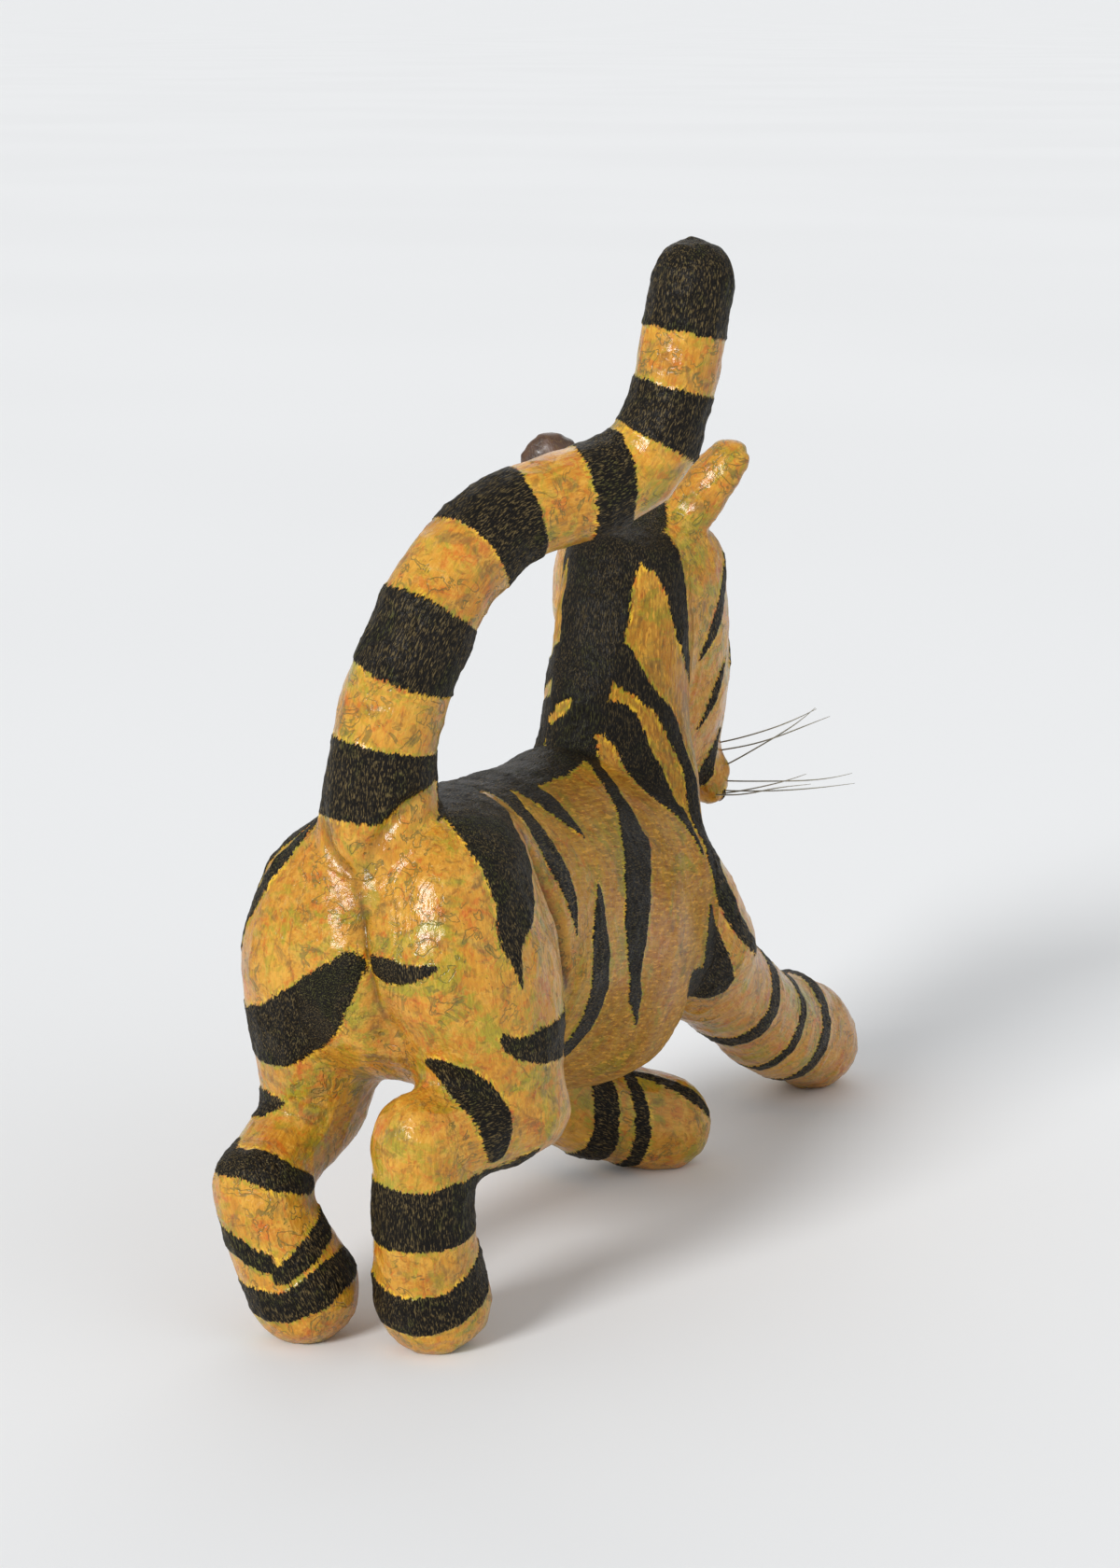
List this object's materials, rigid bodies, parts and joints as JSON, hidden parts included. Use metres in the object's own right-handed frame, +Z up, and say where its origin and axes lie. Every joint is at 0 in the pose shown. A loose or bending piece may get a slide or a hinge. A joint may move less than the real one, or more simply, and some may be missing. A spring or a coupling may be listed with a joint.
{
  "type": "papier-mache tiger figure",
  "caption": "Papier-mache folk-art tiger reaching forward on bent legs, tail raised in an S, with black stripes on ochre and bristle whiskers.",
  "frame": {"origin": "on the ground under the middle of the figure's bounding box, at the height of its four soles", "axes": "+Z up; the tiger looks along -Y; its left side is +X"},
  "size_m": [0.2228, 0.5754, 0.5378],
  "materials": {
    "painted_paper": "acrylic paint and clear varnish over pasted paper, with black hand-painted stripes",
    "dark_paper": "dark brown paint and clear varnish",
    "eye_paint": "gloss varnish",
    "nose_paint": "gloss varnish",
    "frame_wire": "galvanised wire",
    "bristle": "translucent grey bristle"
  },
  "bodies": {
    "root": {"rump_shell": "painted_paper", "chest_shell": "painted_paper", "neck_shell": "painted_paper", "head_shell": "painted_paper", "jaw_shell": "painted_paper", "ear_right_shell": "painted_paper", "tail_root_shell": "painted_paper", "tail_arch_shell": "painted_paper", "tail_tip_shell": "painted_paper", "thigh_right_shell": "painted_paper", "thigh_left_shell": "painted_paper", "foot_right_shell": "painted_paper", "shank_right_shell": "painted_paper", "foot_left_shell": "painted_paper", "shank_left_shell": "painted_paper", "upper_arm_right_shell": "painted_paper", "forearm_right_shell": "painted_paper", "upper_arm_left_shell": "painted_paper", "forearm_left_shell": "painted_paper", "whisker_pad_right": "painted_paper", "whisker_pad_left": "painted_paper", "ear_left_shell": "dark_paper", "eye_right": "eye_paint", "eye_left": "eye_paint", "nose": "nose_paint", "spine_wire": "frame_wire", "tail_wire": "frame_wire", "hind_leg_wire_right": "frame_wire", "hind_leg_wire_left": "frame_wire", "foreleg_wire_right": "frame_wire", "foreleg_wire_left": "frame_wire", "torso_hoop_1": "frame_wire", "torso_hoop_2": "frame_wire", "torso_hoop_3": "frame_wire", "whisker_right_1": "bristle", "whisker_right_2": "bristle", "whisker_right_3": "bristle", "whisker_right_4": "bristle", "whisker_right_5": "bristle", "whisker_right_6": "bristle", "whisker_right_7": "bristle", "whisker_left_1": "bristle", "whisker_left_2": "bristle", "whisker_left_3": "bristle", "whisker_left_4": "bristle", "whisker_left_5": "bristle", "whisker_left_6": "bristle", "whisker_left_7": "bristle"}
  },
  "joints": []
}
